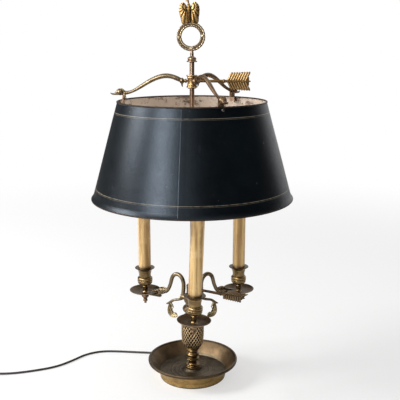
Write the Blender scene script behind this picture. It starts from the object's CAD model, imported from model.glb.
import math

import bpy
import numpy as np
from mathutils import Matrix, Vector


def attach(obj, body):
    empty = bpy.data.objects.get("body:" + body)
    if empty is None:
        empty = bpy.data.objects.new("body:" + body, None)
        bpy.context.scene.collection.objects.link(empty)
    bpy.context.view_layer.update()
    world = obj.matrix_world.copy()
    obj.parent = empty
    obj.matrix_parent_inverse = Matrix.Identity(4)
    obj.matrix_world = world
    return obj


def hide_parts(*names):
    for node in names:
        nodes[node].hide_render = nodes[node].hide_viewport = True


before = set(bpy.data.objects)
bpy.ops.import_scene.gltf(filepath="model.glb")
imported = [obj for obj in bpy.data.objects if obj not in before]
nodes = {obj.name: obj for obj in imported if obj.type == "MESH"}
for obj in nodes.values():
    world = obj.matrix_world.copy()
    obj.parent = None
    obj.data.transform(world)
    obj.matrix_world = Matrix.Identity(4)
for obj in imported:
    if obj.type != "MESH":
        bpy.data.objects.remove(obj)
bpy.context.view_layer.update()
scene = bpy.context.scene
tau = 2 * math.pi
print("frame loaded")

# Camera fitted to the photograph: its place in metres, its lens in millimetres, its turns in degrees
view = {"place": (0, -1.3065, 0.6542), "lens": 63.01, "sensor": 36.0, "down": 12.675, "right": 0.645}
lens = bpy.data.cameras.new("camera")
lens.sensor_width, lens.lens, lens.clip_end = view["sensor"], view["lens"], 60.0
camera = bpy.data.objects.new("camera", lens)
camera.location = view["place"]
camera.rotation_euler = (math.radians(90 - view["down"]), 0, math.radians(-view["right"]))
scene.collection.objects.link(camera)
scene.camera = camera


# Shader maths: a socket that adds, multiplies and compares by making Math nodes
class Value:
    def __init__(self, shader, socket):
        self.shader, self.socket = shader, socket

    def maths(self, operation, *others):
        return self.shader.node("Math", {"operation": operation}, [self, *others])

    def __add__(self, other):
        return self.maths("ADD", other)

    def __mul__(self, other):
        return self.maths("MULTIPLY", other)

    def __sub__(self, other):
        return self.maths("SUBTRACT", other)

    def __rsub__(self, other):
        return self.shader.node("Math", {"operation": "SUBTRACT"}, [other, self])

    __radd__ = __add__
    __rmul__ = __mul__


# Six hex digits of a colour as it looks, turned into linear light
def colour(text):
    channels = [int(text[at:at + 2], 16) / 255 for at in (0, 2, 4)]
    return (*[c / 12.92 if c < 0.04045 else ((c + 0.055) / 1.055) ** 2.4 for c in channels], 1)


# Nodes of one material or world
class Shader:
    def __init__(self, owner):
        owner.use_nodes = True
        self.owner, self.tree = owner, owner.node_tree
        self.tree.nodes.clear()

    # any node: its type, its settings, its inputs by number or name, and which output is wanted
    def node(self, kind, settings=None, inputs=(), output=0):
        made = self.tree.nodes.new("ShaderNode" + kind)
        for key, amount in (settings or {}).items():
            setattr(made, key, amount)
        pairs = inputs.items() if isinstance(inputs, dict) else enumerate(inputs)
        for key, amount in pairs:
            if isinstance(amount, Value):
                self.tree.links.new(amount.socket, made.inputs[key])
            elif amount is not None:
                made.inputs[key].default_value = amount
        return Value(self, made.outputs[output]) if made.outputs else None

    # where a point is on the object, in metres
    def place(self):
        return self.node("TexCoord", output="Object")

    # height over the floor in millimetres
    def height(self):
        return self.node("SeparateXYZ", inputs=[self.place()], output=2) * 1000

    # what a piece's own attribute says of a point, 0 where it has none
    def mark(self, name):
        return self.node("Attribute", {"attribute_name": name}, output="Fac")

    def noise(self, scale, detail=4, rough=0.55, stretch=(1, 1, 1)):
        spot = self.node("Mapping", inputs={"Vector": self.place(), "Scale": stretch})
        return self.node("TexNoise",
                         inputs={"Vector": spot, "Scale": scale, "Detail": detail, "Roughness": rough})

    # 0 at low and 1 at high, with an even S between
    def step(self, amount, low, high):
        return self.node("MapRange", {"interpolation_type": "SMOOTHSTEP"}, [amount, low, high, 0.0, 1.0])

    # 1 within half a width of a height in millimetres, else 0
    def line(self, middle, width):
        away = (self.height() - middle).maths("ABSOLUTE")
        return 1 - self.step(away, width / 2 - 0.15, width / 2 + 0.15)

    # the first colour, and the second by its share
    def mix(self, share, first, second):
        first, second = [colour(c) if isinstance(c, str) else c for c in (first, second)]
        return self.node("Mix", {"data_type": "RGBA"}, {0: share, 6: first, 7: second}, 2)

    # closes a material: a socket's name is written with underscores
    def finish(self, bump=None, distance=0.0005, **sockets):
        if bump is not None:
            sockets["Normal"] = self.node("Bump",
                                          inputs={"Strength": 1.0, "Distance": distance, "Height": bump})
        sockets = {key.replace("_", " "): colour(v) if isinstance(v, str) else v
                   for key, v in sockets.items()}
        shade = self.node("BsdfPrincipled", inputs=sockets)
        self.node("OutputMaterial", inputs=[shade])
        return self.owner


# Patinated metal: dark in the hollows, its middle tone in clouds, and bright where hands wear the ridges
def patina(name, dark, middle, bright, wear, rough, grain=70, metal=0.95, marked=True):
    s = Shader(bpy.data.materials.new(name))
    cloud, fine = s.noise(grain, 5, 0.6), s.noise(grain * 9, 4, 0.7)
    raised = s.mark("raised") if marked else cloud * 0.4 + 0.3
    worn = s.step(raised * 0.75 + cloud * 0.45 + fine * 0.25 + (wear - 0.5), 0.55, 1.05)
    base = s.mix(s.step(cloud * 0.6 + raised * 0.5 + fine * 0.2, 0.32, 0.78), dark, middle)
    base = s.mix(worn, base, bright)
    roughness = rough + 0.22 * fine + 0.12 * cloud - 0.14 * worn - 0.08
    return s.finish(Base_Color=base, Metallic=metal, Roughness=roughness, bump=fine + cloud * 0.6,
                    distance=0.00025)


agedBronze = patina("agedBronze", "2e2216", "6b5640", "a38766", 0.42, 0.34)
vaseBronze = patina("vaseBronze", "22160b", "6a5338", "dcc096", 0.44, 0.34, grain=110)
finialCopper = patina("finialCopper", "34271b", "705740", "b3987a", 0.44, 0.30)
panBronze = patina("panBronze", "34291d", "75624c", "a9927a", 0.38, 0.32)
keyBronze = patina("keyBronze", "1f160d", "4c3a29", "94805f", 0.36, 0.36)
giltBrass = patina("giltBrass", "3a2712", "866640", "cfae7c", 0.50, 0.28)
vaneGilt = patina("vaneGilt", "49361d", "785e39", "a98a5e", 0.42, 0.42)
cupBrass = patina("cupBrass", "30231a", "75603f", "b39769", 0.46, 0.27)
armBrass = patina("armBrass", "362a1f", "6e5f48", "b3a080", 0.42, 0.27)
knopBrass = patina("knopBrass", "241709", "5c4526", "a58a5e", 0.42, 0.24)
eagleGilt = patina("eagleGilt", "3c2a15", "71562f", "b5925f", 0.42, 0.40)
wreathGilt = patina("wreathGilt", "574632", "8c7a60", "c8b595", 0.47, 0.36)
leafGilt = patina("leafGilt", "3a2d1a", "877452", "c4b289", 0.55, 0.40)
rodBrass = patina("rodBrass", "4d3626", "8a705a", "c2a88c", 0.45, 0.24, 30, marked=False)
copperStrip = patina("copperStrip", "6a5240", "a08872", "c8b29a", 0.45, 0.36, marked=False)
rimWire = patina("rimWire", "17110d", "33271f", "6d5e50", 0.36, 0.40, 40, 0.6, marked=False)
steel = patina("steel", "2c2c2e", "585654", "8c8884", 0.45, 0.30, marked=False)
brassCap = patina("brassCap", "6b5228", "b08d4e", "e0c488", 0.50, 0.26, marked=False)


# Dish: brown walls and a darker floor in clouds, a golden scratched band outside, and a rim worn bright
def dishMetal():
    s = Shader(bpy.data.materials.new("dishBronze"))
    cloud, fine, patch = s.noise(45, 5, 0.62), s.noise(420, 4, 0.7), s.noise(17, 4, 0.6)
    outer, flat = s.mark("outer"), s.mark("flat")
    inside = s.mix(s.step(cloud, 0.35, 0.7), "5b4a34", "79644b")
    inside = s.mix(s.step(patch, 0.50, 0.68) * 0.5, inside, "866f50")
    deck = s.mix(s.step(cloud, 0.35, 0.7), "3b3327", "5c5140")
    inside = s.mix(flat, inside, deck)
    band = s.mix(s.step(cloud * 0.7 + fine * 0.3, 0.34, 0.62), "83693e", "bd9f66")
    band = s.mix(s.step(fine + patch * 0.4, 0.74, 0.9) * 0.8, band, "c9a968")
    band = s.mix(s.step(patch * 0.6 + cloud * 0.5, 0.58, 0.72) * 0.6, band, "574123")
    tone = s.mix(outer, inside, band)
    lip = s.mix(s.step(cloud * 0.6 + fine * 0.4, 0.35, 0.65), "3a2d1f", "5c4c38")
    tone = s.mix(s.mark("lip"), tone, lip)
    tone = s.mix(s.step(s.mark("raised"), 0.35, 0.95) * 0.7, tone, "94836a")
    return s.finish(Base_Color=tone, Metallic=0.85, Roughness=0.35 + 0.22 * fine + 0.06 * outer,
                    bump=fine + cloud * 0.8, distance=0.00035)


# Shade: blue-black paint with streaks, chips and two pairs of gilt lines, and stained cream inside. Gloss
# falls with the grime. Heights and widths of the lines are in millimetres.
giltLines = {"heights": (530.2, 390.2), "wide": 0.75, "second": 2.2, "narrow": 0.5}


def toleware():
    s = Shader(bpy.data.materials.new("toleware"))
    cloud, fine, speck = s.noise(11, 4, 0.6), s.noise(260, 5, 0.65), s.noise(150, 3, 0.5, (1, 1, 0.6))
    streak, grime = s.noise(60, 3, 0.6, (1, 1, 0.08)), s.noise(38, 5, 0.75, (1, 1, 1.6))
    inner, seam = s.mark("inner"), s.mark("seam")
    paint = s.mix(s.step(cloud, 0.35, 0.7), "030608", "081014")
    paint = s.mix(s.step(streak + fine * 0.3, 0.78, 0.95) * 0.3, paint, "2b3238")
    chips = s.step(speck + fine * 0.35, 0.905, 0.945)
    paint = s.mix(chips * 0.7, paint, "5c6064")
    stripes = 0
    for height in giltLines["heights"]:
        stripes = stripes + s.line(height, giltLines["wide"])
        stripes = stripes + s.line(height - giltLines["second"], giltLines["narrow"]) * 0.5
    stripes = stripes * (0.38 + 0.4 * s.step(s.noise(90, 3, 0.6), 0.34, 0.5))
    paint = s.mix(stripes, paint, "a39680")
    paint = s.mix(s.step(seam, 0.2, 1.0) * 0.3, paint, "3a4046")
    cream = s.mix(s.step(cloud + fine * 0.25, 0.45, 0.85), "d8c5b2", "ecddcc")
    rust = s.step(s.noise(75, 5, 0.7) + fine * 0.3, 0.69, 0.84)
    cream = s.mix(rust * 0.85, cream, "7d5a48")
    stain = s.step(s.noise(26, 5, 0.75, (1, 1, 2.2)) + fine * 0.2, 0.63, 0.72)
    cream = s.mix(stain * 0.8, cream, "6b5042")
    tone = s.mix(inner, paint, cream)
    return s.finish(Base_Color=tone, Metallic=0.0, Roughness=0.20 + 0.12 * fine + 0.20 * grime + 0.3 * inner,
                    Specular_IOR_Level=0.36, Specular_Tint="cadaec", bump=fine + grime * 0.6 + chips * -0.5,
                    distance=0.00015)


# Candle: amber card in upright streaks under a thin gloss, dark where it stands in its cup
def candleCard():
    s = Shader(bpy.data.materials.new("candleCard"))
    streak, fine = s.noise(110, 5, 0.65, (1, 1, 0.06)), s.noise(600, 3, 0.6)
    cloud = s.noise(38, 4, 0.6)
    tone = s.mix(s.step(streak, 0.38, 0.64), "a8824a", "ecc684")
    tone = s.mix(s.step(cloud, 0.5, 0.75) * 0.5, tone, "f2d69e")
    tone = s.mix(s.step(streak + fine * 0.3, 0.80, 0.95) * 0.5, tone, "7a5a2c")
    foot = 1 - s.step(s.height() + cloud * 9, 211.0, 220.0)
    tone = s.mix(foot * 0.85, tone, "4c3a1e")
    return s.finish(Base_Color=tone, Metallic=0.35, Roughness=0.26 + 0.16 * fine, Coat_Weight=0.5,
                    Coat_Roughness=0.16, bump=streak + fine * 0.3, distance=0.0003)


# One finish in two near tones that meet in fine clouds
def plain(name, first, second, rough, scale=300, metal=0.0, bump=0.0002, **more):
    s = Shader(bpy.data.materials.new(name))
    fine, cloud = s.noise(scale, 4, 0.6), s.noise(scale / 8, 3, 0.5)
    tone = s.mix(s.step(fine * 0.5 + cloud * 0.5, 0.35, 0.65), first, second)
    return s.finish(Base_Color=tone, Metallic=metal, Roughness=rough + 0.15 * fine, bump=fine, distance=bump,
                    **more)


# Felt: green fibres that lie one way
def feltCloth():
    s = Shader(bpy.data.materials.new("felt"))
    fibre = s.noise(900, 6, 0.8, (1, 0.35, 1))
    tone = s.mix(s.step(fibre, 0.3, 0.7), "1d2a1c", "35492f")
    return s.finish(Base_Color=tone, Roughness=0.95, Sheen_Weight=0.3, bump=fibre, distance=0.0006)


# Bulb: clear glass with a little haze
def bulbGlassMaterial():
    s = Shader(bpy.data.materials.new("bulbGlass"))
    frost = s.noise(60, 3, 0.5)
    return s.finish(Base_Color="fbf8f2", Roughness=0.03 + 0.05 * frost, Transmission_Weight=1.0, IOR=1.45)


dishBronze, shadePaint, candleMaterial = dishMetal(), toleware(), candleCard()
cordMaterial = plain("cordRubber", "1c1511", "2b211a", 0.42, 500, bump=0.0001)
switchBrown = plain("switchBrown", "2a1a10", "3b2618", 0.34, 260, bump=0.0001, Coat_Weight=0.2)
socketMaterial = plain("socketCard", "3a332b", "52483c", 0.7, 400)
filamentMaterial = plain("filament", "8a8580", "b5b0a8", 0.3, 500, 0.9)
felt, glass = feltCloth(), bulbGlassMaterial()
print("materials made")


# Sides of a turned profile from (radius, height[, bow]) corners, with points a spacing apart. A bow is the
# height of a side's curve over its length, to the left of the way on. Each softening moves a point halfway
# to its neighbours' mean.
def outline(corners, spacing=0.6, closed=True, soft=2):
    corners = list(corners) + (list(corners[:1]) if closed else [])
    sides = []
    for start, stop in zip(corners, corners[1:]):
        first, chord = np.array(start[:2], float), np.subtract(stop[:2], start[:2])
        t = np.arange(max(2, math.ceil(np.linalg.norm(chord) / spacing)))[:, None]
        t = t / len(t)
        bow = start[2] if len(start) > 2 else 0
        sides.append(first + chord * t + np.array([-chord[1], chord[0]]) * (4 * bow * t * (1 - t)))
    line = np.concatenate(sides + ([] if closed else [np.array([corners[-1][:2]], float)]))
    for _ in range(soft):
        near = (np.roll(line, 1, 0) + np.roll(line, -1, 0)) / 2
        softer = line * 0.5 + near * 0.5
        if not closed:
            softer[0], softer[-1] = line[0], line[-1]
        line = softer
    return line


# Corners of a profile, moved up to their height
def lifted(height, corners):
    return [(r, z + height, *more) for r, z, *more in corners]


# A profile at each angle: x is its radius times the cosine, y its radius times the sine
def turned(line, columns=96, angles=None):
    angles = np.arange(columns) / columns * tau if angles is None else angles
    radius, height = line[:, :1], line[:, 1:2]
    return np.stack([radius * np.cos(angles), radius * np.sin(angles), height + 0 * angles], -1)


# Natural cubic through the knots by chord length, with every column carried along
def spline(knots, count):
    knots = np.array(knots, float)
    along = np.r_[0, np.cumsum(np.linalg.norm(np.diff(knots[:, :3], axis=0), axis=1))]
    total, steps = len(knots), np.diff(along)
    matrix, right, inner = np.eye(total), np.zeros_like(knots), np.arange(1, total - 1)
    matrix[inner, inner - 1], matrix[inner, inner + 1] = steps[:-1], steps[1:]
    matrix[inner, inner] = 2 * (steps[:-1] + steps[1:])
    slopes = np.diff(knots, axis=0) / steps[:, None]
    right[inner] = 6 * np.diff(slopes, axis=0)
    bend = np.linalg.solve(matrix, right)
    at = np.linspace(0, along[-1], count)
    k = np.clip(np.searchsorted(along, at) - 1, 0, total - 2)
    b = ((at - along[k]) / steps[k])[:, None]
    a = 1 - b
    curved = ((a ** 3 - a) * bend[k] + (b ** 3 - b) * bend[k + 1]) * (steps[k] ** 2)[:, None] / 6
    return a * knots[k] + b * knots[k + 1] + curved


# Vectors over their lengths
def unit(vectors):
    return vectors / np.maximum(np.linalg.norm(vectors, axis=-1, keepdims=True), 1e-9)


# A closed skin round a path: at each point an oval of the given half height and half width, whose width
# lies along side and whose height lies across side and the path
def swept(path, high, wide, side=(0, 1, 0), columns=24, relief=0.0):
    path = np.array(path, float)
    ahead = unit(np.gradient(path, axis=0))
    side = unit(np.broadcast_to(np.array(side, float), path.shape))
    up = unit(np.cross(ahead, side))
    side = np.cross(up, ahead)
    turn = np.arange(columns) / columns * tau
    high, wide = [np.broadcast_to(np.array(v, float), len(path))[:, None] for v in (high, wide)]
    out = (up[:, None] * (high * np.cos(turn) + relief * np.cos(turn))[..., None]
           + side[:, None] * (wide * np.sin(turn) + relief * np.sin(turn))[..., None])
    return path[:, None] + out


# A limb: a spline through stations of place, half height and half width, lifted to its axis
def limb(stations, count, lift=0.0, side=(0, 1, 0), columns=24):
    path = spline(stations, count)
    return swept(path[:, :3] + [0, 0, lift], path[:, 3], path[:, 4], side, columns)


# A limb with rows of scales. In a row a scale's ridge falls away along the path, and every second row is
# shifted by half a scale. Where says how much of it each point of the path gets. The mark goes with it.
def feathered(path, where, strong, pitch, columns):
    far = np.r_[0, np.cumsum(np.linalg.norm(np.diff(path[:, :3], axis=0), axis=1))][:, None]
    row, turn = far / pitch, np.arange(columns) / columns * tau
    scale = np.abs(np.sin(turn * 4.5 + (np.floor(row) % 2) * math.pi / 2)) * (1 - row % 1)
    skin = swept(path[:, :3], path[:, 3], path[:, 4], columns=columns, relief=strong * where[:, None] * scale)
    return skin, np.clip(0.5 + where[:, None] * (scale - 0.4), 0, 1)


# An egg: its radii times the sine and cosine of tilt and turn
def egg(middle, radii, rows=14, columns=20):
    tilt = np.linspace(0, math.pi, rows)[:, None]
    turn = np.arange(columns) / columns * tau
    grid = np.stack([radii[0] * np.sin(tilt) * np.cos(turn), radii[1] * np.sin(tilt) * np.sin(turn),
                     radii[2] * np.cos(tilt) + 0 * turn], -1)
    return grid + np.array(middle, float)


# Section of a rounded box: the half sizes times cosine and sine, each to the power of 2 over the squareness
def roundedSection(halfWide, halfHigh, squareness, columns=48):
    turn = np.arange(columns) / columns * tau
    c, s = np.cos(turn), np.sin(turn)
    power = 2 / squareness
    return np.stack([halfWide * np.sign(c) * np.abs(c) ** power,
                     halfHigh * np.sign(s) * np.abs(s) ** power], -1)


# A skin through rounded boxes: each station is how far ahead it lies, its half sizes and its squareness
def lofted(stations, side, up, ahead, origin, columns=48):
    rings = []
    for at, wide, high, squareness in stations:
        flat = roundedSection(wide, high, squareness, columns)
        middle = np.array(origin) + np.array(ahead) * at
        rings.append(middle + flat[:, :1] * np.array(side) + flat[:, 1:] * np.array(up))
    return np.array(rings)


# Turns about the y axis, and about the x axis, in degrees
def tilted(grid, degrees):
    c, s = math.cos(math.radians(degrees)), math.sin(math.radians(degrees))
    return grid @ np.array([[c, 0, -s], [0, 1, 0], [s, 0, c]])


def rolled(grid, degrees):
    c, s = math.cos(math.radians(degrees)), math.sin(math.radians(degrees))
    return grid @ np.array([[1, 0, 0], [0, c, -s], [0, s, c]])


# Rolls a grid about the x axis at a height, then swings it to its azimuth about the rod
def about(grid, azimuth, roll=0.0, height=0.0):
    c, s = math.cos(math.radians(azimuth)), math.sin(math.radians(azimuth))
    swung = rolled(grid - [0, 0, height], roll) @ np.array([[c, s, 0], [-s, c, 0], [0, 0, 1]])
    return swung + [0, 0, height]


# A profile turned along x in place of z
def lying(line, columns):
    return turned(line, columns)[..., [2, 1, 0]]


# One piece out of closed skins. A skin is rows and columns of points: its columns close on themselves, and
# its rows either do too (ring) or end in a point at each end.
class Piece:
    def __init__(self, name):
        self.name, self.points, self.faces, self.marks, self.count = name, [], [], {}, 0

    def add(self, grid, ring=False, **marks):
        rows, columns = grid.shape[:2]
        index = np.arange(rows * columns).reshape(rows, columns) + self.count
        below = np.concatenate([index, index[:1]]) if ring else index
        beside = np.roll(below, -1, 1)
        quads = np.stack([below[:-1], beside[:-1], beside[1:], below[1:]], -1).reshape(-1, 4)
        points, total = grid.reshape(-1, 3), rows * columns
        fans = np.zeros((0, 3), int)
        if not ring:
            points = np.concatenate([points, grid[:1].mean(1), grid[-1:].mean(1)])
            first, last = index[0], index[-1]
            foot, tip = self.count + total, self.count + total + 1
            fans = np.concatenate([
                np.stack([np.full(columns, foot), np.roll(first, -1), first], -1),
                np.stack([np.full(columns, tip), last, np.roll(last, -1)], -1)])
            total += 2
        a, b, c, d = [points[quads[:, n] - self.count] - points.mean(0) for n in range(4)]
        volume = np.einsum("ij,ij", a, np.cross(b, c)) + np.einsum("ij,ij", a, np.cross(c, d))
        if volume < 0:
            quads, fans = quads[:, ::-1], fans[:, ::-1]
        self.points.append(points)
        self.faces.append((quads, fans))
        for key, amount in marks.items():
            amount = np.broadcast_to(np.array(amount, float), (rows, columns)).ravel()
            ends = [] if ring else [amount[0], amount[-1]]
            self.marks.setdefault(key, []).append((self.count, np.concatenate([amount, ends])))
        self.count += total
        return self

    # one mesh in metres, with an attribute for each mark and an edge kept sharp past 38 degrees
    def make(self, body, material, replaces, slot):
        points = np.concatenate(self.points) / 1000
        quads = np.concatenate([q for q, _ in self.faces])
        fans = np.concatenate([f for _, f in self.faces])
        mesh = bpy.data.meshes.new(self.name)
        mesh.vertices.add(len(points))
        mesh.vertices.foreach_set("co", points.astype(np.float32).ravel())
        loops = np.concatenate([quads.ravel(), fans.ravel()])
        mesh.loops.add(len(loops))
        mesh.loops.foreach_set("vertex_index", loops.astype(np.int32))
        starts = np.concatenate([np.arange(len(quads)) * 4, len(quads) * 4 + np.arange(len(fans)) * 3])
        mesh.polygons.add(len(starts))
        mesh.polygons.foreach_set("loop_start", starts.astype(np.int32))
        mesh.update(calc_edges=True)
        mesh.polygons.foreach_set("use_smooth", np.ones(len(starts), bool))
        mesh.set_sharp_from_angle(angle=math.radians(38))
        for key, parts in self.marks.items():
            values = np.full(len(points), 0.5 if key == "raised" else 0.0, np.float32)
            for start, amount in parts:
                values[start:start + len(amount)] = amount
            mesh.attributes.new(key, "FLOAT", "POINT").data.foreach_set("value", values)
        mesh.materials.append(material)
        thing = bpy.data.objects.new(self.name, mesh)
        scene.collection.objects.link(thing)
        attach(thing, body)
        if replaces:
            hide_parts(*([replaces] if isinstance(replaces, str) else replaces))
        return thing


# 0 at low and 1 at high: 3 t squared less 2 t cubed between
def ease(amount, low, high):
    t = np.clip((amount - low) / (high - low), 0, 1)
    return t * t * (3 - 2 * t)


# How far a turned line stands out over its own neighbourhood, 0 in a hollow and 1 on a ridge
def prominence(line, reach=7, gain=0.9):
    smooth = line.copy()
    for _ in range(reach):
        smooth = (smooth + (np.roll(smooth, 1, 0) + np.roll(smooth, -1, 0)) / 2) / 2
    inward = line.mean(0)
    sign = np.sign(((line - smooth) * (line - inward)).sum(1))
    return np.clip(0.5 + gain * sign * np.linalg.norm(line - smooth, axis=1), 0, 1)[:, None]


# A piece turned from one profile, marked where it stands out
def turnedPiece(name, line, columns, body, material, node, slot, reach=7, gain=0.9):
    skin = turned(line, columns)
    return Piece(name).add(skin, True, raised=prominence(line, reach, gain)).make(body, material, node, slot)


# Plug and switch: where they lie, and the ribs of their reliefs
plugSizes = {"x": -549.2, "start": -66.4, "high": 7.15, "relief": 24.0, "rib": 3.4}
switchSizes = {"x": -455.0, "y": -2.0, "half": 27.5, "collar": 20.0, "rib": 3.2, "rockRib": 1.7, "rock": 8,
               "pivot": 13.5}

# Cord: one spline from the bushing through the switch to the coil and the plug. Low is its middle where it
# lies on the floor.
cordSizes = {"radius": 2.2, "low": 2.25, "turns": 7, "steps": 8, "middle": (-513, -62), "reach": 33.75,
             "pitch": 4.9}
low, steps, wide, pitch = [cordSizes[key] for key in ("low", "steps", "reach", "pitch")]
route = [(-55.73, 66.416, 4.75), (-66.01, 78.673, 4.75), (-84, 92.5, 2.7), (-118, 96.5, low),
         (-157, 101.5, low), (-196, 103.5, low), (-229, 88, low), (-252, 58, low), (-281, 29, low),
         (-322, 12, low), (-364, 0, low), (-400, -3, low + 1.2), (-427, -2, 6.5), (-483, -2, 6.5),
         (-502, -2, low + 1.6), (-527, -7, low), (-546.75, -27, low), (-546.75, -57.6, low)]
# The coil's reach falls by half a pitch in each half turn, it climbs one pitch in the seventh, and it
# widens again on top. The spline runs inside its points by the cosine of half a step.
half = np.arange(1, 2 * cordSizes["turns"] * steps + 1) / steps
reaches = [wide, wide - 3 * pitch, wide - 3.5 * pitch, wide - 2.5 * pitch, wide + 0.5 * pitch]
reach = np.interp(half, [0, 6, 7, 8, 14], reaches) / (0.25 * math.cos(math.pi / steps) + 0.75)
rise = np.interp(half, [0, 6, 7, 14], [0, 0, pitch, pitch])
bearing = math.pi * (1 + half)
coil = np.stack([cordSizes["middle"][0] + reach * np.cos(bearing),
                 cordSizes["middle"][1] + reach * np.sin(bearing), low + rise], -1)
coil[-1, 0] = plugSizes["x"]
route = np.concatenate([np.array(route), coil,
                        [(plugSizes["x"], plugSizes["start"], plugSizes["high"])]]) / 1000
curve = bpy.data.curves.new("cord", "CURVE")
curve.dimensions, curve.bevel_depth = "3D", cordSizes["radius"] / 1000
curve.bevel_resolution, curve.resolution_u = 5, 4
line = curve.splines.new("NURBS")
line.points.add(len(route) - 1)
line.points.foreach_set("co", np.c_[route, np.ones(len(route))].astype(np.float32).ravel())
line.order_u = 3
line.use_endpoint_u = True
curve.use_fill_caps = True
curve.materials.append(cordMaterial)
cord = bpy.data.objects.new("cord", curve)
scene.collection.objects.link(cord)
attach(cord, "base")
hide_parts("cord_lead", "cord_tail", "cord_coil")
print("cord laid")

# Plug: a rounded body with a seam near its face, and a ribbed relief that tapers towards the cord
plugRows = [(22.0, 6.0, 4.6, 3.2), (24.0, 9.6, 6.0, 3.6), (27.0, 11.6, 6.8, 4.2), (32, 12.3, 7.0, 5),
            (42, 12.4, 7.0, 6), (47.5, 12.4, 7.0, 7), (48.0, 12.1, 6.8, 7), (48.5, 12.4, 7.0, 7),
            (50.6, 12.3, 6.95, 7), (50.95, 11.7, 6.4, 6)]
plugStart = (plugSizes["x"], plugSizes["start"], plugSizes["high"])
plugBody = Piece("plugBody").add(lofted(plugRows, (1, 0, 0), (0, 0, 1), (0, -1, 0), plugStart))
at = np.linspace(0, plugSizes["relief"], 73)
wide = 2.6 + 2.0 * at / plugSizes["relief"] - 0.35 * (np.sin(at * tau / plugSizes["rib"]) > 0.35)
path = np.array(plugStart) - at[:, None] * [0, 1, 0]
plugBody.add(swept(path, wide, wide, (1, 0, 0), 28))
plug = plugBody.make("base", switchBrown, "plug_body", "switch_brown")

# Switch: rounded base and cover, a ribbed collar at each end that tapers and drops to the floor, and a rocker
baseRows = [(0.0, 26.6, 11.3, 8), (0.35, 27.4, 12.0, 8), (1.0, 27.9, 12.4, 8), (9.0, 28.0, 12.5, 8),
            (9.35, 27.7, 12.2, 8)]
coverRows = [(9.5, 27.7, 12.2, 8), (9.8, 28.0, 12.5, 8), (14.2, 27.9, 12.4, 8), (16.2, 27.0, 11.6, 7),
             (17.2, 25.2, 10.0, 6), (17.45, 22.0, 8.2, 6), (17.45, 9.2, 6.0, 12), (15.0, 9.1, 5.9, 12),
             (12.6, 9.1, 5.9, 12)]
switchPlace = (switchSizes["x"], switchSizes["y"], 0)
for name, node, rows in (("switchBase", "switch_base", baseRows), ("switchCover", "switch_cover", coverRows)):
    shell = Piece(name).add(lofted(rows, (1, 0, 0), (0, 1, 0), (0, 0, 1), switchPlace, 96))
    shell.make("base", switchBrown, node, "switch_brown")
collars = Piece("switchCollars")
at = np.linspace(0, switchSizes["collar"], 61)
wide = 4.6 - 2.0 * at / switchSizes["collar"] - 0.3 * (np.sin(at * tau / switchSizes["rib"]) > 0.3)
drop = 6.5 - 4.05 * ease(at, 6, 26) * 0.75
for way in (1, -1):
    path = np.stack([switchSizes["x"] + way * (switchSizes["half"] + at),
                     0 * at + switchSizes["y"], drop], -1)
    collars.add(swept(path, wide, wide, (0, 1, 0), 28))
switchCollars = collars.make("base", switchBrown, (), "switch_brown")

# Rocker: a low arch with fine ribs at both ends, tipped to one side
across = np.linspace(-8.5, 8.5, 69)
ribs = 0.18 * (np.sin(across * tau / switchSizes["rockRib"]) > 0) * (np.abs(across) > 3)
top = 3.2 + 0.9 * (1 - (across / 8.5) ** 2) * 0.3 + ribs
halfThick = (top + 2.0) / 2
path = np.stack([across, 0 * across, top - halfThick], -1)
flat = np.stack([roundedSection(5.4, thick, 9, 40) for thick in halfThick])
grid = path[:, None] + flat[..., :1] * np.array([0, 1, 0]) + flat[..., 1:] * np.array([0, 0, 1])
grid = tilted(grid, -switchSizes["rock"]) + [switchSizes["x"], switchSizes["y"], switchSizes["pivot"]]
Piece("switchRocker").add(grid).make("rocker", switchBrown, "switch_rocker", "switch_brown")
print("switch and plug made")

# Radii of the holes: column parts round the pipe, hubs round their sleeves, pans and cups round their
# nipples
holes = {"column": 5.05, "cap": 4.45, "hub": 5.95, "nipple": 3.05}

# Dish: a low mound and rings on its floor, a rolled rim and the golden band outside
dish = {"foot": 65.6, "wall": 2.8, "felt": 1.5, "under": 8, "floor": 10, "mound": 16, "rim": 88.9,
        "high": 36.7, "rings": (42.5, 34.0, 25.0), "ringHalf": 1.6, "waver": 0.14}
foot, rim, high, floorHigh, hole = dish["foot"], dish["rim"], dish["high"], dish["floor"], holes["column"]
ringCorners = [(64.4, floorHigh)]
for ringRadius in dish["rings"]:
    ringCorners += [(ringRadius + dish["ringHalf"], floorHigh, -0.25),
                    (ringRadius - dish["ringHalf"], floorHigh)]
line = outline([
    (hole, dish["under"]), (foot - dish["wall"], dish["under"]), (foot - dish["wall"], dish["felt"]),
    (foot, dish["felt"]), (foot + 0.4, 8.5, 0.03), (84.4, 30.0), (87.2, 30.6, -0.15), (rim, 33.6, -0.15),
    (88.0, high), (86.6, high - 0.1), (85.7, 36.0, -0.02), (66.2, 12, 0.2), *ringCorners, (22, 10.2, 0.12),
    (16, dish["mound"]), (hole, dish["mound"])], 0.8, soft=1)
radius, height = line.T
angles = np.arange(220) / 220 * tau
grid = turned(line, angles=angles)
grid[..., 2] += dish["waver"] * np.sin(3 * angles) * ease(line[:, :1], 66, 86)
at = np.arange(len(line))
widest = int(np.argmax(radius))
outer = (at < widest) & (radius > 63.0) & (height < 29.6)
lip = (radius > 84.0) & (height > 29.6) & (np.abs(at - widest) < 16)
onFloor = (at > widest) & (height < 16.5) & (radius < 68)
edge = np.exp(-((radius - 86.4) / 0.7) ** 2) * (height > 36.0) * 0.8
ripple = ease(height, 10.15, 10.7) * onFloor * (radius > 23) * 0.6
marks = {"raised": edge + ripple, "outer": outer * 1.0, "lip": lip * 1.0, "flat": onFloor * 1.0}
Piece("dish").add(grid, True, **{key: amount[:, None] for key, amount in marks.items()}).make(
    "base", dishBronze, "base_dish", "aged_bronze")

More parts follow.
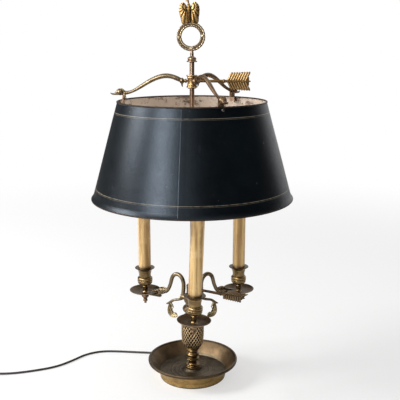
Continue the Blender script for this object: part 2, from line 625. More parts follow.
# Collar and knops: turned beads and cut lines
line = outline([(hole, 16), (15, 16), (15, 18.1, -0.3), (13.4, 19.8), (13.8, 20.6, -0.3), (12, 23),
                (hole, 23)], 0.4)
turnedPiece("footCollar", line, 96, "base", knopBrass, "foot_collar", "gilt_brass")
line = outline(lifted(23, [
    (hole, 0), (9.6, 0, 0.2), (7.9, 4.6), (7.9, 7.7, 0.2), (12.6, 10.8, -0.35), (11.8, 13.6, 0.1),
    (9.3, 15.4), (9.3, 16.2, -0.36), (10.0, 24.6), (8.9, 26.0, 0.25), (9.6, 27.6, -0.35), (10.2, 32.3, 0.2),
    (13.4, 33.3, -0.4), (13.6, 35.4, 0.5), (13.6, 36.0, -0.4), (13.2, 38.1), (12.7, 38.5), (hole, 38.5)]),
    0.35)
turnedPiece("knops", line, 96, "base", knopBrass, "column_knops", "gilt_brass", 12, 0.7)

# Knurled vase: a raised net of two sets of slanting lines over hollow diamonds. A line is where the sine of
# the turn plus or minus the height is near 0, and the nearer of the two sets decides the depth.
vase = {"bottom": 61.5, "around": 22, "row": 9.8, "depth": 1.4, "net": (2.4, 4.4, 56.0, 59.0),
        "beads": (1.6, 58.6), "columns": 480}
line = outline(lifted(vase["bottom"], [
    (hole, 0), (16.6, 0, -0.06), (21.6, 12.8, -0.02), (22.3, 46, -0.15), (19.4, 60.2), (19, 64), (hole, 64)]),
    0.5, soft=1)
# The bore is straight, so only its two ends keep their rows
inBore = line[:, 0] < hole + 0.001
line = line[~(inBore & np.roll(inBore, 1) & np.roll(inBore, -1))]
angles = np.arange(vase["columns"]) / vase["columns"] * tau
grid = turned(line, angles=angles)
radius, high = line[:, :1], line[:, 1:2] - vase["bottom"]
starts, full, fades, ends = vase["net"]
window = ease(high, starts, full) * (1 - ease(high, fades, ends)) * (radius > 14)
across, up = vase["around"] * angles / 2, high * math.pi / vase["row"]
knurl = 1 - np.minimum(np.abs(np.sin(across + up)), np.abs(np.sin(across - up))) ** 0.8
edge = sum(0.4 * np.exp(-((high - bead) / 0.5) ** 2) for bead in vase["beads"]) * (radius > 14)
grid[..., :2] *= (1 + (window * vase["depth"] * (knurl ** 0.7 - 1) + edge) / radius)[..., None]
raised = np.where(window > 0.4, np.clip(knurl * 1.9 - 0.55, 0, 1), 0.45)
Piece("knurledVase").add(grid, True, raised=raised).make("base", vaseBronze, "knurled_vase", "aged_bronze")

# Vase cap: fluted by the sine of ten turns, on its bulge only
vaseCap = {"bottom": 125.5, "flutes": 10, "depth": 0.35}
line = outline(lifted(vaseCap["bottom"], [
    (hole, 0), (18, 0, 0.2), (12.7, 5.6), (14.7, 7.4, -0.38), (13.7, 22.5), (holes["cap"], 22.5),
    (holes["cap"], 14), (hole, 14)]), 0.4)
radius, high = line[:, :1], line[:, 1:2]
bulge = ease(high, 132, 136) * (1 - ease(high, 145, 147)) * (radius > 8)
flutes = vaseCap["depth"] * np.abs(np.sin(np.arange(120) / 120 * tau * vaseCap["flutes"])) * bulge
grid = turned(line, 120)
grid[..., :2] *= (1 - flutes / np.maximum(radius, 1))[..., None]
Piece("vaseCap").add(grid, True, raised=prominence(line) * (1 - flutes)).make(
    "base", agedBronze, "vase_cap", "aged_bronze")
hole = holes["cap"]
line = outline([(hole, 619.4), (9.2, 619.4, -0.3), (9.2, 621.5), (7.2, 622.2, -0.3), (4.3, 629.0),
                (3.3, 629.9), (3.3, 636.9), (1.85, 636.9), (1.85, 630.9), (0.4, 630.9), (0.4, 624.0),
                (hole, 624.0)], 0.35)
turnedPiece("topCap", line, 72, "base", rodBrass, "top_cap", "rod_brass")
print("column made")


# Wreath and eagle lean a little to the left about the cap's top
def leaning(grid):
    return tilted(grid - [0, 0, 636.9], -3.5) + [0, 0, 636.9]


# Laurel wreath: pointed leaves in staggered rows that run from the foot up both sides. A leaf is high along
# its middle rib and falls to its edges and its tip. Bands bind the foot and the sides.
wreath = {"reach": 21.65, "tube": 3.5, "leaf": 1.1, "band": 0.8, "rows": 13, "round": 6, "height": 665.0}
ringTurn, tubeTurn = np.arange(420) / 420 * tau, np.arange(60) / 60 * tau
around = np.abs((ringTurn[:, None] + math.pi / 2 + math.pi) % tau - math.pi) / math.pi
sector, row = around * wreath["rows"], tubeTurn[None] / tau * wreath["round"] + 0.5
u, v = (sector + np.floor(row) % 2 * 0.5) % 1, row % 1
width = np.clip(1.05 * np.sqrt(u) * (1 - u) ** 0.5 + 0.06, 0.05, 1)
across = np.abs(v - 0.5) / 0.5 / width
rib = 0.22 * np.exp(-(across * 4) ** 2) * (across < 1)
leaf = np.clip(1 - across ** 2, 0, 1) ** 0.6 * (0.4 + 0.6 * (1 - u)) + rib
bands = np.clip(np.exp(-((around - 0.5) / 0.03) ** 2) + np.exp(-(around / 0.05) ** 2), 0, 1)
tubeRadius = wreath["tube"] + wreath["leaf"] * leaf * (1 - bands) + wreath["band"] * bands
ringReach = wreath["reach"] + tubeRadius * np.cos(tubeTurn)
grid = np.stack([ringReach * np.cos(ringTurn)[:, None], tubeRadius * np.sin(tubeTurn),
                 ringReach * np.sin(ringTurn)[:, None] + wreath["height"]], -1)
ring = Piece("wreath")
ring.add(leaning(grid), True, raised=np.clip(leaf ** 1.3 * 1.15 * (1 - bands) + bands * 0.8, 0, 1))
stem = outline([(0, 636.95), (3.2, 637.1), (2.5, 639.2, 0.2), (3.2, 642.0), (0, 643.2)], 0.3, False)
ring.add(leaning(turned(stem, 32)), raised=0.5)
ring.make("base", wreathGilt, "finial_wreath", "gilt_brass")

# Eagle: feathered breast, a small bent head with its bill, legs, claws, and two raised wings
eagle = {"foot": 691.15, "tall": 35.8, "body": 33.6, "feathers": 8, "rows": 6.5, "scales": 13,
         "shoulder": (4.0, 28)}


# A body of half widths and depths by height, with staggered scales
def eagleBreast():
    tall, turn = np.linspace(0, 1, 60)[:, None], np.arange(56) / 56 * tau
    share = [0, .1, .3, .5, .7, .85, .95, 1]
    wide = np.interp(tall, share, [3.4, 4.2, 4.4, 4.4, 4.2, 3.1, 1.9, 1.4])
    deep = np.interp(tall, share, [0.8, 2.4, 3.6, 4.6, 4.6, 3.4, 2.0, 1.4])
    row = tall * eagle["scales"]
    scales = np.abs(np.sin(turn * 6 + (np.floor(row) % 2) * math.pi / 2)) * (1 - row % 1)
    plump = 0.45 * scales * np.sin(tall * math.pi) ** 0.4
    grid = np.stack([(wide + plump) * np.cos(turn) - 0.8 * ease(tall, 0.75, 1),
                     -(deep + plump) * np.sin(turn),
                     eagle["foot"] - 0.6 + eagle["body"] * tall + 0 * turn], -1)
    return grid, np.clip(scales * (0.3 + 0.8 * ease(tall, 0.45, 0.7)), 0, 1)


# A wing between an outer and an inner edge by height. Long feathers fan out from the shoulder as ridges by
# their angle, and short ones lie over their roots in rows by their distance.
def eagleWing(side):
    t, turn = np.linspace(0, 1, 110)[:, None], np.arange(84) / 84 * tau
    outside = np.interp(t, [0, .04, .12, .28, .45, .6, .75, .87, .95, 1],
                        [11.6, 14.0, 15.4, 16.4, 17.6, 18.5, 18.4, 16.8, 14.2, 11.6])
    inside = np.interp(t, [0, .2, .4, .6, .75, .87, .95, 1], [0.8, 1.2, 1.6, 2.2, 3.2, 5.0, 7.2, 9.6])
    across, front = np.cos(turn), np.sin(turn)
    x = (outside + inside) / 2 + (outside - inside) / 2 * across
    z = eagle["tall"] * t - (1 - t) ** 2 * x ** 2 / 54
    shoulderX, shoulderZ = eagle["shoulder"]
    fan, far = np.arctan2(z - shoulderZ, x - shoulderX), np.hypot(z - shoulderZ, x - shoulderX)
    feather = np.abs(np.cos(fan * eagle["feathers"])) ** 0.6
    coverts = np.clip(np.abs(np.sin(far / eagle["rows"] * math.pi)) ** 0.7, 0, 1)
    relief = np.where(far < 9, coverts * 0.8, feather) * np.sqrt(np.clip(1 - across ** 2, 0, 1))
    thick = 0.9 + 1.1 * np.sin(np.clip(t, 0, 1) * math.pi) ** 0.5
    lobes = 0.6 * (feather - 0.5) * ease(across, 0.6, 1.0) * (far > 8)
    grid = np.stack([side * (x + lobes), -front * (thick + 1.1 * relief) - 1.1 * np.sin(t * math.pi) + 0.6,
                     eagle["foot"] - 1.6 + z], -1)
    return grid, np.clip(np.where(far < 9, coverts, feather) ** 1.6, 0, 1)


bird = Piece("eagle")
grid, raised = eagleBreast()
bird.add(leaning(grid), raised=raised)
head = [(-0.7, 0, 31.5, 1.9, 1.9), (-1.0, 0, 34.4, 1.5, 1.5), (-1.4, 0, 36.6, 1.8, 1.7),
        (-2.6, 0, 37.8, 1.7, 1.5), (-4.0, 0, 37.3, 1.0, 0.9), (-4.9, 0, 36.2, 0.5, 0.5),
        (-5.1, 0, 35.4, 0.2, 0.2)]
bird.add(leaning(limb(head, 26, eagle["foot"])), raised=0.6)
for side in (-1, 1):
    leg = [(side * 3.0, 0, 0.8, 1.5, 1.5), (side * 2.8, -0.3, 4, 1.3, 1.3), (side * 2.2, 0, 9, 2.1, 1.9)]
    bird.add(leaning(limb(leg, 14, eagle["foot"])), raised=0.5)
    claw = [(side * 3.0, -1.0, 0.9, 1.0, 1.0), (side * 3.4, -3.2, 0.8, 0.9, 0.9),
            (side * 3.6, -4.4, 0.3, 0.4, 0.4)]
    bird.add(leaning(limb(claw, 10, eagle["foot"], (1, 0, 0), 14)), raised=0.6)
    grid, raised = eagleWing(side)
    bird.add(leaning(grid), raised=raised)
ground = outline([(0, 691.2), (4.2, 691.2), (4.2, 692.6), (3.0, 693.2), (0, 693.4)], 0.3, False)
bird.add(leaning(turned(ground, 36)), raised=0.4)
bird.make("base", eagleGilt, "finial_eagle", "gilt_brass")
print("wreath and eagle made")

# Shade: painted cone with a flared foot, dents of a few tenths, and a soldered lap at the seam. The dents
# are sines of the turn and the height, and die away at both wires.
shade = {"foot": 190, "top": 138.75, "wall": 0.8, "low": 369.8, "high": 546.6, "flare": 186, "flareHigh": 377,
         "seam": -97.5, "lap": 0.45, "dents": ((2, 70, 0.35), (5, -38, 0.22), (11, 21, 0.12)), "dented": 0.5}
foot, flare, top, wall = shade["foot"], shade["flare"], shade["top"], shade["wall"]
seam = math.radians(shade["seam"])
angles = np.sort(np.concatenate([np.arange(216) / 216 * tau, (seam + np.linspace(-0.02, 0.08, 40)) % tau]))
line = outline([(foot - wall, shade["low"]), (foot, shade["low"], 0.03), (flare, shade["flareHigh"]),
                (top, shade["high"]), (top - wall, shade["high"]), (flare - wall, shade["flareHigh"], -0.03)],
               1.6, soft=0)
grid = turned(line, angles=angles)
high = line[:, 1:2]
free = ease(high, 372, 395) * (1 - ease(high, 515, 545))
dents = sum(deep * np.sin(waves * angles + high / rise) for waves, rise, deep in shade["dents"])
corner = np.argmin(np.hypot(line[:, 0] - top, line[:, 1] - shade["high"]))
outside = (np.arange(len(line)) <= corner)[:, None] * 1.0
fromSeam = (angles - seam + math.pi) % tau - math.pi
lap = ease(fromSeam, -0.0015, 0.0015) * (1 - np.clip((fromSeam - 0.0015) / 0.07, 0, 1))
lapped = lap * outside * ease(high, 370, 374) * (1 - ease(high, 543, 546))
move = dents * free * shade["dented"] + shade["lap"] * lapped
grid[..., :2] *= (1 + move / line[:, :1])[..., None]
seamMark = np.exp(-(fromSeam / 0.0022) ** 2) * outside
Piece("shade").add(grid, True, inner=1 - outside + 0 * angles, seam=seamMark).make(
    "shade_carriage", shadePaint, "shade_shell", "toleware")

# Arms of the shade: azimuth, how much the head grows, and how far it hangs below the left one
shadeArms = {"back": (52, 0.95, 3.4), "left": (172, 1, 0), "front": (-68, 1.15, 4.2)}
shadeArm = {"axis": 585.0, "start": 19.6, "reach": 128.9, "thick": 1.1, "feather": 0.5, "pitch": 3.1}


# Swan arm of the shade: a neck that swells into a feathered head with a flat upturned bill, a turned stud
# into the hub, a spur under the neck, a crest, two eyes, and a tang into the shade
def makeShadeArm(name, azimuth, grow, drop):
    arm = Piece("shadeArm" + name.title())
    axis, start, reach = shadeArm["axis"], shadeArm["start"], shadeArm["reach"]

    def along(share):
        return start + (reach - start) * share

    neck = [(start - 1, 0, 0.6, 3.0, 3.0), (start, 0, 1, 3.2, 3.2), (along(.13), 0, 7, 3.9, 3.9),
            (along(.28), 0, 9.2, 4.0, 4.0), (along(.47), 0, 3.5, 3.7, 3.7),
            (along(.73), 0, -12.5, 3.0, 3.0), (along(.93), 0, -22.0, 2.8, 2.9),
            (reach + 1, 0, -22.0 - drop / 2, 4.2 * grow, 4.0 * grow),
            (reach + 7, 0, -21.0 - drop, 5.6 * grow, 5.6 * grow),
            (reach + 12, 0, -22.6 - drop, 4.4 * grow, 4.6 * grow),
            (reach + 17, 0, -24.8 - drop, 2.0 * grow, 3.2), (reach + 22, 0, -24.8 - drop, 1.3, 3.4),
            (reach + 25.6, 0, -23.2 - drop, 0.6, 2.2)]
    path = spline(neck, 190) * [1, 1, 1, shadeArm["thick"], shadeArm["thick"]]
    plume = ease(path[:, 0], along(.80), reach - 2) * (1 - ease(path[:, 0], reach + 9, reach + 13))
    skin, raised = feathered(path, plume, shadeArm["feather"], shadeArm["pitch"], 40)
    arm.add(about(skin + [0, 0, axis], azimuth), raised=raised)
    stud = outline([(0, 6.4), (2, 6.4), (2, 10), (3.9, 10.2, -0.2), (3.9, 12), (2.9, 12.8), (2.9, 15),
                    (4.7, 16.2, -0.25), (4.9, 20.5), (3.4, 22.5), (0, 22.6)], 0.35, False)
    arm.add(about(lying(stud, 36) + [0, 0, axis + 0.2], azimuth), raised=prominence(stud))
    spur = [(19.4, 0, -2, 2.1, 2.1), (18.6, 0, -6, 1.6, 1.8), (18.2, 0, -9, 1.1, 1.2),
            (17.6, 0, -10.6, 0.5, 0.6)]
    arm.add(about(limb(spur, 16, axis), azimuth), raised=0.4)
    crest = [(reach - 1, 0, -18.8 - drop / 2, 1.2, 0.9),
             (reach + 5, 0, -15.4 - drop + 1.8 * (1 - grow), 1.5, 1.0),
             (reach + 10, 0, -17.2 - drop, 1.2, 1.0), (reach + 15, 0, -21.8 - drop, 0.6, 0.6)]
    arm.add(about(limb(crest, 22, axis, columns=14), azimuth), raised=0.8)
    for side in (-1, 1):
        eye = egg((reach + 9.4, side * 4.6 * grow, axis - 20.2 - drop), (1.3, 0.9, 1.3), 8, 12)
        arm.add(about(eye, azimuth), raised=0.95)
    tang = lofted([(0, 1.5, 3.8, 8), (0.3, 1.5, 4.0, 8), (12, 1.5, 4.0, 8), (14.8, 1.5, 3.6, 5),
                   (15, 1.3, 3.2, 5)], (1, 0, 0), (0, 1, 0), (0, 0, -1), (reach - 1.5, 0, axis - 21), 40)
    arm.add(about(tang, azimuth), raised=0.4)
    arm.make("shade_carriage", armBrass if name == "left" else agedBronze, f"shade_arm_{name}", "gilt_brass")


for name, sizes in shadeArms.items():
    makeShadeArm(name, *sizes)

# Hubs: bored, and turned between two beads
hole = holes["hub"]
line = outline(lifted(shadeArm["axis"] - 23 * 0.52, [
    (hole, 0), (9.8, 0, -0.3), (9.8, 2.4), (8.7, 3.2), (8.7, 4.0), (9.0, 4.6), (8.6, 5.4, 0.03), (8.6, 17.6),
    (9.0, 18.4), (8.7, 19.2), (8.7, 20), (9.8, 20.6, -0.3), (9.8, 23), (hole, 23)]), 0.35)
turnedPiece("shadeHub", line, 96, "shade_carriage", giltBrass, "shade_hub", "gilt_brass", 10, 0.8)
line = outline(lifted(150, [
    (hole, 0), (12.5, 0, -0.25), (14, 4, -0.2), (16.7, 7.2), (17, 8.2), (17, 13.8), (16.7, 14.8, -0.2),
    (14, 18.4, 0.3), (10.5, 23.2), (11.6, 24.6), (12, 25.6), (11.6, 26.8), (11.8, 30), (12, 37.2, -0.3),
    (10, 40), (hole, 40)]), 0.35)
turnedPiece("candleHub", line, 96, "candle_carriage", agedBronze, "candle_hub", "aged_bronze", 10, 0.8)

# Arrow keys: the hub's surface, the length, where the vane starts, its half width, and how the key stands
shadeKey = {"surface": 8.6, "length": 109, "start": 66, "wide": 17.2, "height": 585, "azimuth": -5, "roll": 0}
candleKey = {"surface": 12.0, "length": 115, "start": 70, "wide": 16.8, "height": 182, "azimuth": -30,
             "roll": -100}


# Arrow key: pin, collar, shaft with beads, and a vane of two rows of barbs on a rib over a thin dark core.
# A barb is a long flat leaf that leaves the rib slantwise.
def arrowKey(name, body, material, node, slot, surface, length, start, wide, height, azimuth, roll):
    key = Piece(name)

    def put(grid):
        return about(grid + [0, 0, height], azimuth, roll, height)

    shaft = outline([(0, 5.35), (2, 5.35), (2, surface + 0.3), (3.9, surface + 0.3, -0.3),
                     (3.9, surface + 3), (2.7, surface + 4.2), (2.5, surface + 8), (2.75, start - 14),
                     (2.75, start - 9), (3.7, start - 7.6), (3.7, start - 6.4), (2.6, start - 5),
                     (2.4, start + 2), (1.8, length - 8), (1.2, length - 1.5), (0, length - 1)], 0.5, False)
    key.add(put(lying(shaft, 28)), raised=0.45)
    barbs = 8
    pitch = (length - start - 11) / (barbs - 1)
    for side in (-1, 1):
        for barb in range(barbs):
            foot = start - 0.5 + pitch * barb
            high = wide * (0.93 + 0.07 * barb / (barbs - 1))
            bend = spline([(foot, 0, 0, 0.9, 1.3), (foot + 2.6, 0, side * high * 0.3, 1.1, 1.95),
                           (foot + 5.2, 0, side * high * 0.62, 1.0, 2.1),
                           (foot + 7.8, 0, side * (high - 1.8), 0.8, 1.9),
                           (foot + 9.0, 0, side * high, 0.3, 0.8)], 18)
            # the oval's width lies in the vane, across the barb
            ahead = unit(np.gradient(bend[:, :3], axis=0))
            leaf = swept(bend[:, :3], bend[:, 3], bend[:, 4], np.cross(ahead, [0, 1, 0]), 16)
            ridge = np.abs(leaf[..., 1]) / np.maximum(bend[:, 3:4], 0.3)
            key.add(put(leaf), raised=np.clip(ridge ** 1.5 * 1.05, 0, 1))
    axes = ((0, 1, 0), (0, 0, 1), (1, 0, 0), (0, 0, 0))
    at = np.linspace(start - 0.5, length - 4, 40)
    core = wide * 0.78 * ease(at, start - 3, start + 12) * (1 - 0.5 * ease(at, length - 10, length - 3))
    key.add(put(lofted(np.c_[at, 0 * at + 0.35, core, 0 * at + 4], *axes, 24)), raised=0.15)
    rib = [(start - 1, 1.2, 1.4, 3), (start + 2, 1.45, 1.5, 3), (length - 4, 1.3, 1.3, 3),
           (length - 3.2, 0.5, 0.8, 3)]
    key.add(put(lofted(rib, *axes, 20)), raised=0.2)
    key.make(body, material, node, slot)


arrowKey("shadeKey", "shade_arrow", vaneGilt, "shade_key", "gilt_brass", **shadeKey)
arrowKey("candleKey", "candle_arrow", keyBronze, "candle_key", "aged_bronze", **candleKey)
print("shade carriage made")

# Arms of the candles: azimuth and how far each is rolled about its own line
candleArms = {"right": (31.3, 0), "left": (151.3, 0), "front": (271.3, 2.2)}
candleArm = {"axis": 161.0, "start": 17.0, "reach": 110.35, "pan": 31.6, "feather": 0.6, "pitch": 3.2}
candleAxis, candleReach, hole = candleArm["axis"], candleArm["reach"], holes["nipple"]
panEdge = candleReach - candleArm["pan"]


# Candle arm: an S-shaped neck, a turned boss, a feathered swan's head at the pan with eyes and a crest, a
# riser and a strap under the pan with its eye, and the stem of the tail
def makeCandleArm(name, put):
    arm = Piece("candleArm" + name.title())

    def share(amount):
        return candleArm["start"] + (panEdge - candleArm["start"]) * amount

    neck = [(22, 0, -1, 3.9, 3.9), (20.4, 0, 15, 4.0, 4.0), (share(.06), 0, 31, 4.0, 4.0),
            (share(.15), 0, 41.5, 4.0, 4.0), (share(.28), 0, 45, 4.0, 4.0), (share(.42), 0, 41, 4.0, 4.0),
            (share(.51), 0, 28, 3.8, 3.8), (share(.59), 0, 14, 3.7, 3.7), (share(.67), 0, 7.6, 4.4, 4.0),
            (share(.76), 0, 6.0, 6.0, 4.9), (share(.86), 0, 5.6, 6.6, 5.4), (share(.95), 0, 4.6, 5.0, 5.0),
            (panEdge + 2, 0, 3.8, 3.2, 4.6), (panEdge + 9, 0, 2.6, 1.9, 4.0),
            (panEdge + 15, 0, 1.6, 1.1, 3.2), (panEdge + 18, 0, 1.4, 0.5, 1.6)]
    path = spline(neck, 200)
    plume = ease(path[:, 0], share(.62), share(.70)) * (1 - ease(path[:, 0], share(.92), share(.98)))
    skin, raised = feathered(path, plume * (path[:, 2] < 16), candleArm["feather"], candleArm["pitch"], 36)
    arm.add(put(skin + [0, 0, candleAxis]), raised=raised)
    boss = outline([(0, 6.4), (2, 6.4), (2, 17.1), (5.2, 17.1), (5.2, 19, -0.1), (5.2, 22.4, -0.4), (3, 26.6),
                    (0, 27.4)], 0.4, False)
    arm.add(put(lying(boss, 36) + [0, 0, candleAxis]), raised=prominence(boss))
    for side in (-1, 1):
        arm.add(put(egg((share(.87), side * 4.5, candleAxis + 7.2), (1.3, 0.9, 1.3), 8, 12)), raised=0.95)
    crest = [(share(.70), 0, 11.6, 0.9, 0.8), (share(.78), 0, 12.2, 1.2, 0.9),
             (share(.87), 0, 11.8, 1.1, 0.9), (share(.97), 0, 8.6, 0.6, 0.6)]
    arm.add(put(limb(crest, 22, candleAxis, columns=14)), raised=0.8)
    riser = [(share(.80), 0, 3, 4.4, 3.8), (panEdge - 4, 0, -0.8, 4.2, 3.8), (panEdge + 2, 0, -4.4, 2.9, 3.8),
             (panEdge + 8, 0, -5.9, 2.2, 3.6), (panEdge + 14, 0, -6.7, 1.5, 3.2)]
    arm.add(put(limb(riser, 30, candleAxis)), raised=0.4)
    strap = [(0, 1.3, 3.2, 6), (0.5, 1.48, 3.9, 8), (candleReach - panEdge + 1, 1.48, 4.0, 8)]
    arm.add(put(lofted(strap, (0, 0, 1), (0, 1, 0), (1, 0, 0), (panEdge - 6, 0, 153.45), 40)), raised=0.3)
    eye = outline([(hole, 151.98), (6.6, 151.98), (7, 152.4), (7, 154.6), (6.6, 154.96), (hole, 154.96)],
                  0.4, soft=0)
    arm.add(put(turned(eye, 48) + [candleReach, 0, 0]), True, raised=0.4)
    stem = [(19, 0, -2, 2.8, 2.8), (33, 0, -8, 2.6, 2.6), (44, 0, -11.5, 2.5, 2.5), (51.5, 0, -17, 2.6, 2.8),
            (57.2, 0, -20.5, 1.8, 2.2), (60.6, 0, -21.6, 0.6, 0.8)]
    arm.add(put(limb(stem, 60, candleAxis)), raised=0.5)
    arm.make("candle_carriage", armBrass, f"candle_arm_{name}", "aged_bronze")


# Leaf of the tail, with a spur at its root: a blade between a smooth outer edge and an inner edge cut into
# lobes, which curls under at its tip. Its thickness follows the veins, which are cosines across the blade.
def makeTailLeaf(name, put):
    tail = Piece("tailLeaf" + name.title())
    spur = [(50.0, 0, -18, 2.0, 2.2), (46.4, 0, -22.5, 1.6, 1.8), (44.6, 0, -26.5, 1.0, 1.2),
            (45.4, 0, -28.6, 0.4, 0.5)]
    tail.add(put(limb(spur, 20, candleAxis)), raised=0.6)
    outer = spline([(50.5, 0, 144.5), (54.0, 0, 140), (56.2, 0, 134), (57.4, 0, 126), (56.0, 0, 119.5),
                    (52.4, 0, 115), (47.8, 0, 113), (42.8, 0, 112.6), (38.6, 0, 113.6), (35.2, 0, 115.6)],
                   100)
    inner = spline([(47.0, 0, 143.5), (48.4, 0, 138.5), (48.2, 0, 133.5), (46.4, 0, 129.5), (45.4, 0, 126),
                    (43.8, 0, 124.0), (42.2, 0, 123.4), (40.8, 0, 123.4), (39.4, 0, 123.4),
                    (38.0, 0, 122.9)], 100)
    far, turn = np.linspace(0, 1, 100)[:, None], np.arange(72) / 72 * tau
    cross, face = np.cos(turn), np.sin(turn)
    lobe = np.abs(np.sin(far * math.pi * 5)) ** 0.6 - 0.6
    spread = np.where(cross < 0, cross * (1 - 0.42 * lobe * cross), cross * (1 + 0.06 * lobe))
    veins = (0.5 + 0.5 * np.cos((cross + 0.08) * math.pi * 4.2)) ** 0.8
    thick = np.interp(far, [0, .3, .7, 1], [2.2, 2.9, 2.5, 1.2]) * (0.5 + 0.5 * veins)
    curl = ease(far, 0.82, 1) * (veins * 3.0 - 1.2)
    grid = ((outer + inner)[:, None] / 2 + ((outer - inner) / 2)[:, None] * spread[..., None]
            + np.array([0, 1, 0]) * (thick * np.sign(face) * np.abs(face) ** 0.6)[..., None]
            + np.array([-0.9, 0, 0.3]) * curl[..., None])
    tail.add(put(grid), raised=np.clip(veins * (0.35 + 0.65 * np.abs(face)) + 0 * far, 0, 1))
    tail.make("candle_carriage", leafGilt, (), "aged_bronze")


# Drip pan: a shallow dish with a rolled rim, and cup: a turned vase with a wide lip, dull inside
def makePanAndCup(name, stand):
    line = outline([(hole, 155), (12, 155, -0.06), (30.9, 160.4), (31.5, 161.1, -0.45), (30.4, 161.8, 0.1),
                    (12.5, 156.25), (11.5, 156.5), (10.5, 156.2), (hole, 156.2)], 0.5, soft=1)
    worn = 0.2 + 0.6 * ease(line[:, :1], 30.3, 31.2)
    Piece("dripPan" + name.title()).add(stand(turned(line, 120)), True, raised=worn).make(
        "candle_carriage", panBronze, f"drip_pan_{name}", "aged_bronze")
    line = outline(lifted(156.2, [
        (hole, 0), (7.6, 0, 0.25), (5.2, 6.2), (5.2, 11), (6.2, 12.2), (5.4, 13.6), (7.2, 15.4),
        (11.4, 17.6, -0.2), (14.8, 22.4), (14.8, 24.0), (15.3, 24.6), (15.3, 26.0), (14.5, 26.5),
        (14.5, 27.1), (15.2, 27.6), (15.2, 28.8, -0.2), (12.2, 33.0, 0.06), (13.6, 45.4, 0.12), (15.4, 48.9),
        (18.0, 50.9), (19.7, 51.5, -0.4), (19.2, 53), (12.65, 53), (12.65, 47), (hole, 47)]), 0.4)
    worn = prominence(line, 14, 0.55) * (1 - 0.75 * ease(line[:, 1:2], 205, 206.5))
    Piece("candleCup" + name.title()).add(stand(turned(line, 84)), True, raised=worn).make(
        "candle_carriage", cupBrass, f"candle_cup_{name}", "aged_bronze")


# Candle: a card tube that waves by hundredths, as sines of the turn and the height
def makeCandle(name, stand):
    line = outline([(11.6, 203.2), (12.6, 203.2), (12.6, 399.7), (12.3, 400), (11.8, 400), (11.6, 399.7)],
                   3.0, soft=0)
    grid, angles = turned(line, 72), np.arange(72) / 72 * tau
    wave = 0.07 * np.sin(3 * angles + line[:, 1:2] / 31) + 0.05 * np.sin(7 * angles - line[:, 1:2] / 47)
    grid[..., :2] *= (1 + (wave - 0.12) * (line[:, :1] > 12.4) / 12.6)[..., None]
    Piece("candle" + name.title()).add(stand(grid), True).make(
        "candle_carriage", candleMaterial, f"candle_sleeve_{name}", "candle_card")


# Bulb: hollow pointed glass, a brass cap whose thread is a cosine of the height, and a filament on a mount
def makeBulb(name, stand):
    line = outline([
        (0, 489.9), (1.0, 489.4), (2.4, 484.5), (8.2, 467.0, 0.06), (14.4, 450, 0.05), (17.3, 433.8, 0.10),
        (12.5, 409.5, 0.02), (6.6, 402.2), (6.0, 402.4), (11.8, 409.9), (16.6, 433.8, -0.10),
        (13.7, 449.6, -0.05), (7.6, 466.4, -0.06), (1.6, 484.0), (0, 486.5)], 0.9, False)
    Piece("bulbGlass" + name.title()).add(stand(turned(line, 56))).make(
        "candle_carriage", glass, f"bulb_{name}", "bulb_glass")
    at = np.linspace(376.4, 402.2, 84)
    radius = 6.35 + 0.3 * np.cos(at * tau / 3.0) * (at < 396) * (at > 380)
    radius = radius * ease(at, 375.2, 379.0) ** 0.5
    line = np.concatenate([[[0.3, 376.2]], np.stack([radius, at], -1), [[0.3, 402.4]]])
    Piece("bulbCap" + name.title()).add(stand(turned(line, 40)), raised=0.5).make(
        "candle_carriage", brassCap, (), "steel")
    filament = Piece("filament" + name.title())
    mount = outline([(0, 402.2), (3.4, 402.2), (3.0, 408), (1.6, 413), (0.9, 420), (0, 421)], 0.8, False)
    filament.add(stand(turned(mount, 20)))
    for side in (-1, 1):
        wire = spline([(0, side * 0.6, 419), (0, side * 3.0, 428), (0, side * 1.6, 452),
                       (0, side * 0.2, 462)], 24)
        filament.add(stand(swept(wire, 0.22, 0.22, (1, 0, 0), 8)))
    filament.make("candle_carriage", filamentMaterial, (), "steel")


# Drop finials under the pans: three turned pieces in one node
finials = Piece("panFinials")
finialLine = outline(lifted(131.96, [
    (0.1, 0), (1.2, 0, -0.3), (2.4, 2.2), (2.0, 4, -0.3), (4.4, 7.2), (4.1, 8.6), (3.4, 9.4), (3.9, 10.2),
    (5.6, 13.2, -0.25), (6.8, 18.4), (6.2, 20), (hole, 20), (hole, 7.7), (0.1, 7.7)]), 0.35)
for name, (azimuth, roll) in candleArms.items():
    def put(grid):
        return about(grid, azimuth, roll, candleAxis)

    def stand(grid):
        return put(grid + [candleReach, 0, 0])

    makeCandleArm(name, put)
    makeTailLeaf(name, put)
    makePanAndCup(name, stand)
    makeCandle(name, stand)
    makeBulb(name, stand)
    finials.add(stand(turned(finialLine, 56)), True, raised=prominence(finialLine))
print("candle arms made")
finials.make("candle_carriage", finialCopper, "pan_finials", "aged_bronze")

# Finishes of the CAD nodes that stay
finishes = (
    (felt, "base_felt"), (steel, "base_nut base_washer shade_screws"), (switchBrown, "cord_bushing"),
    (cordMaterial, "cord_inlet supply_wires"), (socketMaterial, "sockets"), (brassCap, "plug_blades"),
    (rodBrass, "lamp_pipe upright_rod shade_hub_sleeve candle_hub_sleeve bracket_rivets pan_nipples"),
    (copperStrip, "shade_bracket_left shade_bracket_back shade_bracket_front"),
    (rimWire, "shade_top_wire shade_bottom_wire"))
kept = {name: material for material, names in finishes for name in names.split()}
for name, thing in nodes.items():
    if thing.hide_render:
        continue
    if name not in kept:
        raise ValueError("no finish for " + name)
    thing.data.materials.clear()
    thing.data.materials.append(kept[name])
print("finishes set")

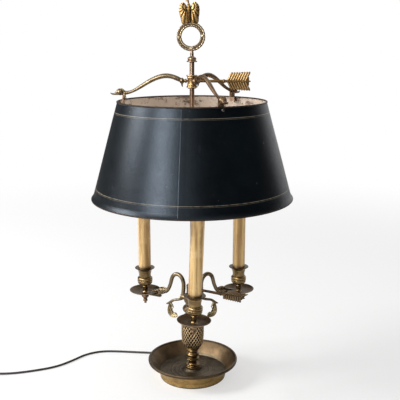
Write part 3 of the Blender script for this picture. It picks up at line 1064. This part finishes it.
# Floor: white, and shown partly as light of its own so that only the object's shadow darkens it. Its sizes
# are in metres.
floorLook = {"half": 4, "shadow": 0.46, "nearest": 0.9, "farthest": 2.2}
half = floorLook["half"]
floorMesh = bpy.data.meshes.new("floor")
floorMesh.from_pydata([(-half, -half, 0), (half, -half, 0), (half, half, 0), (-half, half, 0)], [],
                      [(0, 1, 2, 3)])
floor = bpy.data.objects.new("floor", floorMesh)
scene.collection.objects.link(floor)
s = Shader(bpy.data.materials.new("floor"))
far = s.node("VectorMath", {"operation": "LENGTH"}, [s.place()], "Value")
shown = 1 - s.step(far, floorLook["nearest"], floorLook["farthest"])
matt = s.node("BsdfDiffuse", inputs=[colour("ffffff")])
white = s.node("Emission", inputs=[colour("ffffff"), 1.0])
seen = s.node("LightPath", output="Is Camera Ray")
both = s.node("MixShader", inputs=[1 - (1 - shown * floorLook["shadow"]) * seen, white, matt])
s.node("OutputMaterial", inputs=[both])
floorMesh.materials.append(s.owner)

# World: white to the camera and in mirrors, and a plain level of light otherwise
scene.world = bpy.data.worlds.new("studio")
s = Shader(scene.world)
path = [s.node("LightPath", output=name)
        for name in ("Is Camera Ray", "Is Glossy Ray", "Is Transmission Ray")]
direct = path[0].maths("MAXIMUM", path[1]).maths("MAXIMUM", path[2])
sky = s.node("Background", inputs=[colour("ffffff"), 0.5 + 0.5 * direct])
s.node("OutputWorld", inputs=[sky])

# Lamps: place, aim and size in metres, and power in watts
lamps = {
    "keyLight": {"place": (-2.2, -0.2, 1.55), "aim": (0, 0, 0.25), "size": (1.0, 1.0), "power": 61,
                 "diffuse": True},
    "shadeSoftbox": {"place": (-1.54, -1.84, 1.30), "aim": (0, 0, 0.45), "size": (0.9, 1.0), "power": 62,
                     "diffuse": False}}
for name, look in lamps.items():
    lamp = bpy.data.lights.new(name, "AREA")
    lamp.shape, lamp.energy = "RECTANGLE", look["power"]
    lamp.size, lamp.size_y = look["size"]
    thing = bpy.data.objects.new(name, lamp)
    thing.location = look["place"]
    thing.rotation_euler = (Vector(look["aim"]) - Vector(look["place"])).to_track_quat("-Z", "Y").to_euler()
    thing.visible_diffuse = look["diffuse"]
    scene.collection.objects.link(thing)

# Curved cards that only mirrors see: a dark one at the front right and a dim one behind at the left, each
# from one bearing in degrees to another
cards = {"darkCard": (-88, 30, "383838"), "dimCard": (105, 222, "606060")}
cardRadius, cardLow, cardTall, cardPosts = 2.6, -0.2, 3.1, 40
for name, (start, stop, tone) in cards.items():
    cardMesh = bpy.data.meshes.new(name)
    bearing = np.radians(np.linspace(start, stop, cardPosts))
    foot = np.stack([cardRadius * np.cos(bearing), cardRadius * np.sin(bearing), 0 * bearing + cardLow], -1)
    post = np.arange(cardPosts - 1)
    faces = np.stack([post, post + 1, post + 1 + cardPosts, post + cardPosts], -1)
    cardMesh.from_pydata(np.concatenate([foot, foot + [0, 0, cardTall]]).tolist(), [], faces.tolist())
    card = bpy.data.objects.new(name, cardMesh)
    s = Shader(bpy.data.materials.new(name))
    s.node("OutputMaterial", inputs=[s.node("Emission", inputs=[colour(tone), 1.0])])
    cardMesh.materials.append(s.owner)
    scene.collection.objects.link(card)
    for key in ("visible_camera", "visible_diffuse", "visible_shadow", "visible_transmission"):
        setattr(card, key, False)

scene.view_settings.view_transform = "Standard"
print("lights and cards placed")
